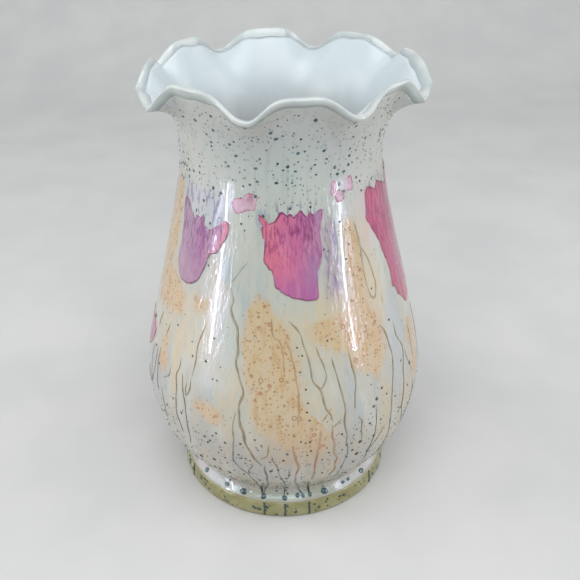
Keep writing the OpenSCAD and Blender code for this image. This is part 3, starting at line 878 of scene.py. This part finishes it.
# Outlines of the patches, as (angle, height) round each
FRONT_PATCH = [
    (-12, 146), (-11.8, 143.5), (-10.5, 142), (-11, 140), (-10, 137), (-9, 136), (-9, 129), (-8, 127),
    (-6.5, 125), (-5, 124.3), (-3.5, 119), (-2, 117.8), (1, 115.7), (5, 114), (12, 112.7), (15.5, 113.5),
    (16, 117), (16.5, 123), (19, 128), (19.5, 133), (19.5, 140), (21, 144), (21.5, 146.5), (19, 146.6),
    (16.5, 145.2), (14.5, 146.2), (13, 145), (11.3, 145.8), (9.5, 147.6), (7.8, 146.4), (6, 145.2),
    (4, 146.3), (2, 145.6), (0, 146.9), (-2, 145.8), (-4, 143.4), (-7, 142.6), (-9.5, 143.2),
]
LEFT_PATCH = [
    (-62, 143), (-61, 135), (-60, 128), (-60, 120), (-58, 115), (-55, 112.3), (-51, 111.7), (-47, 112.5),
    (-43, 115), (-40, 119), (-38, 123), (-36, 127), (-33, 128), (-30, 132), (-27, 136), (-27, 140.5),
    (-30, 141), (-33, 139), (-37, 137), (-40, 136.5), (-42.5, 138), (-44, 141.5), (-46, 140), (-48, 140.3),
    (-50, 138.5), (-55, 141), (-58, 144),
]
RIGHT_PATCH = [
    (49, 149), (47.5, 141), (47, 138), (49, 135.5), (50.5, 133), (53, 130), (55, 126), (57, 121),
    (59.5, 116), (61, 110), (60.5, 105.5), (63, 104), (65, 100), (69, 97), (72, 93.5), (76, 92.5), (82, 95),
    (88, 104), (91, 120), (92, 138), (88, 150), (80, 149), (75, 145.5), (70, 147), (65, 148.5), (61, 149.5),
    (57, 147.5), (55, 148.7),
]
FAR_LEFT_PATCH = [
    (-71, 83), (-72, 78), (-76, 72), (-83, 67), (-91, 63), (-97, 70), (-95, 80), (-88, 86), (-79, 85),
]
BACK_PATCHES = [
    [(117, 144), (119, 130), (127, 116), (137, 110), (146, 116), (152, 131), (153, 145), (142, 148),
     (128, 147)],
    [(177, 143), (180, 126), (187, 113), (197, 106), (207, 113), (213, 128), (215, 144), (202, 149),
     (188, 147)],
    [(238, 143), (241, 130), (247, 119), (254, 115), (262, 121), (268, 133), (268, 144), (256, 149),
     (246, 148)],
]
LEFT_BLOT = [
    (-26, 149.5), (-22, 151), (-17, 153), (-14, 152.8), (-12, 150.5), (-13, 147), (-15, 146.2),
    (-20, 145.3), (-24, 144.3), (-26.5, 146.5),
]
RIGHT_BLOTS = [
    [(34.5, 153), (36, 156), (38.5, 156.5), (40.7, 154), (40, 151), (37.5, 150.2), (35.3, 151)],
    [(25.3, 152), (26.5, 155.5), (29, 156), (30.3, 153.5), (28.5, 150.5), (26.3, 150.3)],
    [(28, 150.5), (31, 152.3), (34, 151.2), (34, 148.3), (31, 147), (28.5, 148.3)],
]

# Outlines of the amber stains
FRONT_STAIN = [
    (-16, 113), (-18.5, 102), (-18.5, 92), (-18, 84), (-15.5, 79), (-15.2, 71), (-13, 63), (-10, 57),
    (-4, 53), (3, 49), (9, 46), (15, 46.5), (17.5, 54), (16.5, 61), (12.5, 66), (10, 74), (9, 86),
    (6.5, 96), (1.5, 105), (-4, 112), (-10, 118),
]
FRONT_RIGHT_STAINS = [
    [(9, 103), (16, 106), (24, 108), (29.5, 112), (30.5, 124), (31, 138), (34, 143), (38, 142), (41, 136),
     (42, 122), (43, 110), (46.5, 104), (49, 94), (48.5, 84), (46, 79), (43, 76.5), (41, 71.5),
     (38.5, 74.5), (35, 77.5), (30, 79), (27, 85), (22, 90), (15, 93), (10, 97)],
]
LOW_STAIN = [
    (-40, 65), (-36, 60), (-30, 57), (-23, 60), (-23, 67), (-30, 70.5), (-37, 70),
]
LEFT_STAINS = [
    [(-66, 150), (-64, 135), (-63, 118), (-58, 111), (-50, 109), (-47, 104), (-48, 99), (-54, 96),
     (-62, 94), (-72, 92), (-82, 96), (-87, 108), (-88, 125), (-84, 146), (-75, 152)],
    [(-45, 110), (-39, 112), (-33, 110), (-32, 105), (-38, 102), (-45, 103)],
    [(-60, 90), (-55, 84), (-52, 76), (-56, 68), (-63, 71), (-64, 82)],
]
RIGHT_STAINS = [
    [(63, 86), (70, 89), (77, 87), (81.5, 78), (82, 67), (79, 59), (72, 55), (65, 57), (62.5, 66), (64, 76)],
]
BACK_STAINS = [
    [(106, 104), (112, 88), (121, 74), (131, 82), (134, 98), (128, 110), (116, 112)],
    [(152, 102), (157, 84), (166, 66), (176, 76), (180, 96), (172, 108), (160, 110)],
    [(218, 102), (224, 82), (233, 70), (242, 82), (245, 98), (238, 110), (226, 110)],
]

# Threads as (width, path of (angle, height) points)
OLIVE_FRONT = [
    (0.95, [(-24, 117), (-22.5, 112), (-23.5, 109.5), (-21, 105), (-19.5, 100), (-19.3, 90), (-18.5, 84),
        (-16.5, 79), (-16, 76), (-17, 67), (-16.5, 62), (-14.6, 54), (-13, 48), (-11, 43.5), (-9.3, 40.5)]),
    (0.75, [(-8, 41), (-8, 36), (-7.6, 31), (-8, 25), (-9.3, 18), (-11, 12.5), (-11.3, 9.3)]),
    (0.6, [(-18.5, 68), (-19.5, 63), (-19.2, 55), (-20.3, 46), (-20.5, 41), (-18.3, 36), (-15.8, 33),
        (-14.5, 28)]),
    (1.3, [(-14.7, 29), (-13.7, 25), (-13.4, 20), (-14, 14), (-13, 10.5)]),
    (0.7, [(2, 106), (7, 101), (8.5, 96), (10, 90), (11.5, 82), (14.2, 77.5), (15.5, 70), (18, 66),
        (18.5, 63)]),
    (0.6, [(13, 96), (14, 93), (16.5, 86), (16.7, 82), (14.2, 77.5)]),
    (0.65, [(19.5, 90), (20.5, 85), (22.5, 75), (23.8, 68), (23.3, 61), (24.5, 54), (24.3, 50)]),
    (0.65, [(24.4, 50.5), (25.6, 44), (25.8, 40), (25, 35), (24.3, 29), (24.6, 23), (27, 17.5),
        (29.5, 12.5)]),
    (0.55, [(-6, 54.5), (-6, 50), (-7, 47), (-9.6, 45)]),
    (0.45, [(-16, 128), (-20, 123.5), (-24, 119)]),
    (0.6, [(22.5, 63.5), (20, 61.5), (18, 60)]),
    (0.7, [(27, 92), (27.8, 85), (29.3, 77), (28.5, 72), (27.8, 66)]),
]
RUSSET_FRONT = [
    (0.6, [(-5, 108), (-4.2, 100), (-1, 97), (0.5, 84)]),
    (0.8, [(1, 100), (3.4, 91), (5, 80), (5.6, 72), (5.5, 63)]),
    (1.0, [(3.4, 55), (3.6, 50), (4.7, 44), (5.3, 40), (4.6, 31), (5, 26), (6.2, 20), (7.5, 14)]),
    (1.0, [(13.5, 61), (13.7, 57), (13, 51), (12.2, 43), (12.2, 34), (11.8, 28)]),
    (0.9, [(17.6, 62), (18.4, 55), (19.8, 48), (21.2, 41), (21, 34), (20, 28.5)]),
    (0.55, [(13.5, 63), (16, 66), (18, 69)]),
    (0.5, [(38.3, 100), (37.5, 96), (36.5, 92)]),
]
GREEN_FRONT = [
    (1.2, [(10.7, 27), (11.5, 21), (12.8, 15), (13.8, 10)]),
    (0.5, [(-5, 48), (-4, 43), (-2.6, 38), (-1.6, 33), (-0.4, 28.5), (0, 23), (-0.3, 15), (-0.3, 10)]),
    (0.45, [(-12.8, 42), (-13.4, 39), (-15, 36), (-15.3, 32)]),
    (0.5, [(1.9, 40), (1.8, 34), (0.7, 30.5)]),
    (0.7, [(6, 16), (8, 12.5), (10, 10.5)]),
]
RIGHT_THREADS = [
    (0.65, [(37.5, 64), (37.9, 60), (38.2, 53), (38, 43), (36.9, 37.5), (37, 29)]),
    (0.6, [(29, 61.5), (30.8, 59), (30.7, 54), (31.5, 48)]),
    (0.8, [(38, 140), (39.5, 135), (40.5, 127), (41, 118), (41.5, 112)]),
    (0.75, [(41, 130), (44.5, 122), (47, 115), (48, 112), (45.5, 107), (43, 108), (41.5, 113)]),
    (0.85, [(45, 96), (48, 92), (49.5, 86), (50.2, 78), (48.5, 70), (47.2, 62), (47, 52), (48.6, 43),
        (48.6, 39), (47.2, 31), (49, 24)]),
    (0.8, [(55, 93), (56, 86), (58.5, 80), (58.5, 75), (57, 69), (56, 60), (55.6, 52), (58, 45), (61, 39)]),
    (0.5, [(60.5, 78), (61.5, 73), (63.7, 68), (65.5, 62)]),
    (0.8, [(67.5, 86), (68.5, 79), (68.3, 73), (70, 68)]),
    (0.7, [(66, 60), (67, 46), (65, 32)]),
    (0.8, [(84, 88), (86, 72), (84, 54), (87, 36)]),
    (0.5, [(50, 107), (50, 102)]),
    (0.5, [(44, 50), (40, 42), (37, 38)]),
]
LEFT_THREADS = [
    (0.55, [(-35, 100), (-37.5, 91), (-38.3, 84), (-39, 76)]),
    (0.6, [(-39.3, 76), (-39.9, 70), (-41.5, 67), (-42, 70.5), (-41.5, 73)]),
    (0.7, [(-46.5, 82), (-46.8, 77), (-47.8, 73), (-47, 66), (-46.8, 58), (-45.8, 51), (-45.3, 45)]),
    (0.65, [(-44.5, 76), (-43.5, 70), (-42, 63.5), (-41, 56), (-41, 48), (-42.5, 40)]),
    (0.6, [(-57, 93), (-58.5, 88), (-59.6, 84)]),
    (0.5, [(-52, 76), (-52.5, 71), (-54.5, 69), (-57, 67)]),
    (0.6, [(-58, 63), (-57, 58), (-56, 52), (-57, 45)]),
    (0.8, [(-65.5, 94), (-67.5, 89), (-68, 85)]),
    (0.7, [(-65, 78), (-66, 70), (-67.5, 62), (-71, 56)]),
    (0.6, [(-70, 76), (-71.5, 67), (-71, 55)]),
    (0.7, [(-79, 60), (-77, 50), (-79, 34)]),
    (0.5, [(-62, 80), (-63, 68), (-61, 58)]),
]


def back_threads():
    """Threads down the unseen back, in turn short, middling and long, with a gentle sway."""
    threads = []
    for i, start in enumerate((104, 118, 133, 149, 166, 182, 197, 214, 229, 246, 259)):
        top = 78 - 9 * (i % 3) + (24 if i % 4 == 1 else 0)
        fall = 18 + 5 * (i % 2) - top
        path = []
        for k in range(6):
            sway = 2.5 * math.sin(math.radians(70 * k + 130 * i))
            path.append((start + sway, top + fall * k / 5))
        threads.append((0.65 + 0.2 * (i % 3), path))
    return threads


BACK_THREADS = back_threads()



# The largest dark dots, as (angle, height, radius)
DOTS = [
    (-38.5, 34, 1.0), (-30.5, 37, 0.85), (-30, 29, 0.85), (-25, 29.3, 0.85), (-32.2, 51, 0.65),
    (-23, 51.5, 0.6), (-31.2, 48, 0.55), (-25.8, 47.8, 0.45), (-25.3, 46, 0.5), (-18, 46, 0.5),
    (-17, 44, 0.5), (-24.4, 41.5, 0.5), (-24, 38, 0.45), (-21.8, 33.2, 0.45), (-17.6, 31.7, 0.6),
    (-34.3, 47.5, 0.4), (-33, 28.5, 0.7), (-11.3, 28.2, 0.6), (-2.6, 38.3, 0.6), (-5.8, 37, 0.55),
    (-3.7, 33, 0.5), (-1.5, 31.3, 0.65), (-0.5, 45, 0.6), (-0.3, 28.2, 0.6), (-11, 56.2, 0.45),
    (-8.6, 53.5, 0.45), (10, 50, 0.6), (14.8, 43, 0.5), (15.9, 33, 0.6), (1.8, 34.3, 0.55), (31, 47.3, 0.9),
    (28, 43.5, 0.7), (30.8, 39.5, 1.0), (30.7, 33.5, 0.6), (34.7, 55.8, 0.55), (38, 47, 0.8),
    (36.9, 37.8, 0.85), (25.7, 40.3, 0.6), (24.7, 33.2, 0.6), (24.6, 48.7, 0.6), (54, 52, 0.6),
    (52, 53.5, 0.5), (63.4, 68.8, 0.85), (59.8, 60, 0.6), (41.5, 69.5, 0.6), (38.3, 66, 0.8),
    (36.6, 63.3, 0.7), (44, 65.5, 0.5), (-43.8, 57.3, 0.6), (-49, 61.5, 0.5), (-69.5, 58.5, 1.0),
    (-77, 85, 1.0), (-68, 76, 0.7), (-61.5, 71, 0.6), (-9.5, 144.8, 0.6), (4, 147.6, 0.55),
    (14.5, 147.6, 0.5), (-50, 141.2, 0.55), (-39, 138.5, 0.5), (-45, 146, 0.6), (-33.5, 150.8, 0.6),
    (-67.5, 155, 0.6), (-60.5, 154.5, 0.6), (5.5, 95.5, 0.4), (7.5, 92.2, 0.4), (6.3, 85.7, 0.4),
    (8.5, 78.5, 0.45), (9, 72.8, 0.45), (8.5, 69, 0.5), (9.5, 65.3, 0.5), (-30, 95.5, 0.45),
    (-33, 85.3, 0.6), (-40, 85, 0.5), (-29, 79, 0.4), (-27, 79, 0.4), (52.5, 94.5, 0.55), (-10, 50.5, 0.35),
    (16.2, 50, 0.4),
]


def clear_of_threads(u, a, room=1.6):
    """Whether a crumb at a height and angle would stay off the threads."""
    for _, path in OLIVE_FRONT + RUSSET_FRONT + RIGHT_THREADS + LEFT_THREADS + BACK_THREADS:
        p = np.array(path, float)
        v = np.clip(u, p[:, 1].min(), p[:, 1].max())
        course = np.interp(-v, -p[:, 1], p[:, 0])
        turn = abs((course - a + 180) % 360 - 180)
        if math.hypot(turn / degrees_per_mm(u), u - v) < room:
            return False
    return True


def make_coloured_glass():
    rose = patch_glass(
        "rose_glass",
        [(0.0, (206, 114, 128)), (0.35, (206, 108, 138)), (0.6, (184, 100, 146)), (0.9, (158, 120, 158))],
        (166, 92, 150), outline=(116, 40, 84), streak=(150, 58, 116), mottle=(216, 146, 164))
    hot = patch_glass(
        "hot_pink_glass", [(0.0, (188, 78, 112)), (0.4, (172, 64, 114)), (1.0, (154, 64, 116))],
        (172, 50, 84), outline=(130, 28, 56), streak=(138, 40, 88), mottle=(206, 112, 144))
    mauve = patch_glass(
        "mauve_glass",
        [(0.0, (166, 142, 158)), (0.35, (162, 128, 154)), (0.5, (158, 102, 144)), (0.7, (176, 138, 154)),
         (0.95, (202, 120, 134))],
        (164, 134, 150), outline=(108, 52, 92), streak=(114, 62, 122), mottle=(182, 162, 180))
    blush = patch_glass(
        "pale_pink_glass", [(0.0, (204, 164, 178)), (1.0, (200, 174, 184))],
        (196, 158, 172), outline=(166, 92, 118), streak=(188, 142, 158), mottle=(206, 192, 196))
    thick = dict(thickness=0.28)
    ragged = dict(thick, teeth=0.3)
    torn = dict(thick, teeth=2.8)
    thin = dict(thickness=0.06, rough=0.3, bevel=2.5, rings=20)
    make_patches("front_rose_glass", "rose_patch_front", "rose_glass", rose, [FRONT_PATCH], 31, **ragged)
    make_patches("left_mauve_glass", "rose_patch_left", "mauve_glass", mauve, [LEFT_PATCH], 41, **ragged)
    make_patches("right_pink_glass", "rose_patch_right", "rose_glass", hot, [RIGHT_PATCH], 51, **ragged)
    corner = [FAR_LEFT_PATCH]
    make_patches("far_left_pink_glass", "rose_patch_far_left", "rose_glass", hot, corner, 61, **thick)
    make_patches("back_mauve_glass", "rose_patch_back", "mauve_glass", mauve, BACK_PATCHES, 71, **torn)
    make_patches("left_pink_blot", "pink_blot_left", "pale_pink_glass", blush, [LEFT_BLOT], 81, **thin)
    make_patches("right_pink_blot", "pink_blot_right", "pale_pink_glass", blush, RIGHT_BLOTS, 85, **thin)
    amber = stain_glass("amber_glass", (198, 174, 134), (188, 152, 98), (160, 106, 56), 0.97)
    stains = {
        "amber_stain_front": [FRONT_STAIN], "amber_stain_front_right": FRONT_RIGHT_STAINS,
        "amber_stain_low": [LOW_STAIN], "amber_stain_left": LEFT_STAINS, "amber_stain_right": RIGHT_STAINS,
        "amber_stain_back": BACK_STAINS,
    }
    for i, (node, outlines) in enumerate(stains.items()):
        make_patches(node.replace("stain", "glass"), node, "amber_glass", amber, outlines, 90 + 5 * i, **thin)
    make_coloured_threads()
    make_frit()


def make_coloured_threads():
    olive = thread_glass(
        "olive_thread_glass", (14, (38, 50, 40)), (34, (70, 74, 56)), (50, (124, 104, 68)),
        (80, (146, 124, 88)), (106, (140, 132, 108)), (120, (128, 146, 142)))
    russet = thread_glass(
        "russet_thread_glass", (12, (88, 86, 58)), (26, (128, 92, 60)), (38, (170, 112, 84)),
        (60, (176, 126, 78)), (100, (182, 140, 88)))
    teal = thread_glass(
        "teal_thread_glass", (20, (52, 62, 54)), (44, (88, 94, 80)), (80, (132, 120, 92)),
        (110, (154, 140, 104)), (150, (160, 146, 112)))
    front = OLIVE_FRONT + GREEN_FRONT
    make_threads("front_olive_threads", "olive_trails_front", olive, front, 201)
    make_threads("front_russet_threads", "russet_trails_front", russet, RUSSET_FRONT, 231)
    make_threads("right_threads", "trails_right", teal, RIGHT_THREADS, 251)
    make_threads("left_threads", "trails_left", teal, LEFT_THREADS, 271)
    make_threads("back_threads", "trails_back", olive, BACK_THREADS, 291)


def make_frit():
    dark = crumb_glass("dark_crumb_glass", (30, 42, 40), (58, 78, 78), (38, 48, 38), (70, 84, 74))
    sea = crumb_glass("teal_crumb_glass", (42, 74, 90), (74, 110, 118), (38, 60, 74), (88, 120, 124))

    clear = clear_of_threads
    neck = scattered(700, low=148.5, high=186, small=0.26, large=0.74, flatness=0.3, seed=7)
    body = scattered(820, low=11, high=56, small=0.25, large=0.6, flatness=0.4, seed=17, keep=clear)
    sparse = scattered(220, low=58, high=149, small=0.22, large=0.5, flatness=0.35, seed=27, keep=clear)
    dots = [(z, a, r, r, 0.35 * r) for a, z, r in DOTS]
    make_crumbs("neck_crumbs", "neck_frit", sea, neck, 303)
    make_crumbs("body_crumbs", "body_frit", dark, dots + body + sparse, 305)
    beads = [
        (9.9, -24, 1.9, 0.9, 0.6), (10, -35, 1.2, 0.7, 0.5), (9.8, -12, 1.4, 0.9, 0.5),
        (9.7, -0.3, 1.2, 0.8, 0.6), (10.3, 7, 1.0, 0.9, 0.4), (10, 10, 0.9, 0.8, 0.4),
        (10, 14, 1.0, 0.8, 0.4), (10, 22.5, 1.8, 1.0, 0.6), (10.2, 35, 1.0, 0.6, 0.4),
        (10.2, 39, 0.8, 0.6, 0.4), (9.8, 50, 1.6, 0.8, 0.5), (9.8, 112, 1.8, 0.9, 0.6),
        (10, 163, 1.7, 0.9, 0.6), (9.9, 236, 1.8, 0.9, 0.6), (10, -52, 1.2, 0.8, 0.5),
    ]
    make_crumbs("waist_beads", "foot_beads", sea, beads, 307)
    make_foot_specks(dark)


def make_foot_specks(material):
    """Black specks and short drips in the foot's outer wall."""
    rng = np.random.default_rng(47)
    shape = Shape()
    for _ in range(150):
        a, z, r = rng.uniform(0, 360), rng.uniform(1.2, FOOT_H - 1), 0.25 + 0.55 * rng.random() ** 2
        add_foot_speck(shape, a, z, r * rng.uniform(1, 1.6), r, rng)
    for a in (-63, -11, 0, 13, 55, 96, 141, 188, 232, 274):
        for z in np.arange(1.3, FOOT_H - 0.4, 0.62):
            add_foot_speck(shape, a + rng.uniform(-0.12, 0.12), z, rng.uniform(0.42, 0.58), 0.55, rng)
    make_piece("foot_specks", "foot_frit", shape, material)


def add_foot_speck(shape, a, z, across, upright, rng):
    """A speck on the foot's wall, which leans in towards its top."""
    uneven = 1 + 0.2 * np.sin(np.radians(2 * 36 * np.arange(10)) + rng.uniform(0, 6))
    leaning_in = 0.0125 * z**1.9
    tone, wall = rng.random() * 0.5, FOOT_R - leaning_in

    def place(x, y, lift):
        at = np.radians(a) + across * x / wall
        height = np.clip(z + upright * y, 0.5, FOOT_H - 0.3)
        return np.stack([(wall + lift) * np.sin(at), -(wall + lift) * np.cos(at), height], -1)

    add_dome(shape, place, uneven, [(1.0, SUNK), (1.0, 0.04), (0.9, 0.2), (0.5, 0.26)], 0.27, tone)


# ---- Camera, light and floor ----

def aim(thing, place, target, roll=0.0):
    place, target = Vector(place), Vector(target)
    turn = (target - place).to_track_quat("-Z", "Y").to_matrix().to_4x4()
    thing.matrix_world = Matrix.Translation(place) @ turn @ Matrix.Rotation(roll, 4, "Z")


def make_camera():
    """The camera looks down at the middle of the vase from the front."""
    camera = bpy.data.objects.new("camera", bpy.data.cameras.new("camera"))
    bpy.context.scene.collection.objects.link(camera)
    camera.data.sensor_width = 36
    camera.data.lens = 47.93
    camera.data.shift_x = 0.0124
    elevation, distance, target = math.radians(30.55), 341.9 * MM, Vector((0, 0, 89.6 * MM))
    back = Vector((0, -math.cos(elevation), math.sin(elevation)))
    tilt = math.radians(-0.62)
    aim(camera, target + back * distance, target, tilt)
    bpy.context.scene.camera = camera


def make_light(name, place, target, size, watts, gloss_only=False):
    lamp = bpy.data.lights.new(name, "AREA")
    lamp.shape = "RECTANGLE"
    lamp.size, lamp.size_y = size
    lamp.energy = watts
    light = bpy.data.objects.new(name, lamp)
    light.visible_camera = False
    light.visible_diffuse = not gloss_only
    bpy.context.scene.collection.objects.link(light)
    aim(light, place, target)


def make_studio():
    """Soft light from above and both sides, a tall narrow light to each side of the front for the gloss."""
    for side, gloss, fill in ((-1, 0.82, 2.3), (1, 0.7, 2.0)):
        name = "left" if side < 0 else "right"
        place = (side * 0.40, -0.245, 0.2)
        make_light(name + "_strip", place, (0, 0, 0.2), (0.014, 0.37), gloss, gloss_only=True)
        make_light(name + "_fill", (side * 0.75, 0.0, 0.35), (0, 0, 0.1), (0.5, 0.6), fill)
    make_light("overhead", (0.0, -0.55, 1.1), (0, 0, 0.08), (1.2, 1.2), 13.2)
    world = bpy.data.worlds.new("studio")
    bpy.context.scene.world = world
    world.use_nodes = True
    background = world.node_tree.nodes["Background"].inputs
    background["Color"].default_value = (0.94, 0.97, 1.0, 1)
    background["Strength"].default_value = 0.42
    bpy.context.scene.view_settings.view_transform = "Standard"


def make_floor():
    """A pale sweep: flat under the vase, and curving up behind it."""
    size, back, bend = 1.6, 0.75, 0.35
    rows = [(-size, 0.0)] + [(back * k / 8 - 0.2, 0.0) for k in range(9)]
    for k in range(1, 13):
        turn = math.radians(90 * k / 12)
        rows.append((back - 0.2 + bend * math.sin(turn), bend * (1 - math.cos(turn))))
    rows.append((back - 0.2 + bend, 1.8))
    cols = 9
    points = [(x, y, z) for y, z in rows for x in np.linspace(-size, size, cols)]
    faces = []
    for r in range(len(rows) - 1):
        for c in range(cols - 1):
            i = cols * r + c
            faces.append((i, i + 1, i + cols + 1, i + cols))
    mesh = bpy.data.meshes.new("sweep")
    mesh.from_pydata(points, [], faces)
    mesh.polygons.foreach_set("use_smooth", [True] * len(faces))
    g = Glass("pale_sweep", roughness=0.6)
    cloud = g.step(g.noise(60, 60), 0.3, 0.7)
    g.put("Base Color", g.mix(cloud, (196, 196, 196), (202, 202, 201)))
    g.put("Specular IOR Level", 0.2)
    mesh.materials.append(g.material)
    floor = bpy.data.objects.new("sweep", mesh)
    bpy.context.scene.collection.objects.link(floor)


make_camera()
make_layers()
make_lip()
make_foot()
make_pontil()
make_coloured_glass()
make_studio()
make_floor()
